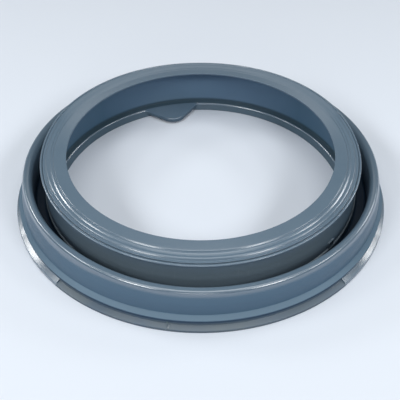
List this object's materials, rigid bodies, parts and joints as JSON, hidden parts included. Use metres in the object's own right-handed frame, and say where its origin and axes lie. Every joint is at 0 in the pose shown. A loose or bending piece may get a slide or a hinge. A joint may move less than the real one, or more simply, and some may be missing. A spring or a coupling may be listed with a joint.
{
  "type": "washing machine door seal",
  "caption": "Round grey rubber door seal with a flat ring on a thin neck, an outer fold with an open channel, a base flange and a pull tab inside.",
  "frame": {"origin": "centre of the seal on the surface it lies on, the underside of the base flange", "axes": "+Z is the axis of the ring, from the base flange up to the mouth; +Y is away from the camera; the pull tab lies at 103.5 degrees from +X towards +Y and the drain hole at -40 degrees"},
  "size_m": [0.39, 0.39, 0.0609],
  "materials": {
    "rubber": "satin"
  },
  "bodies": {
    "root": {"door_seal": "rubber"}
  },
  "joints": []
}
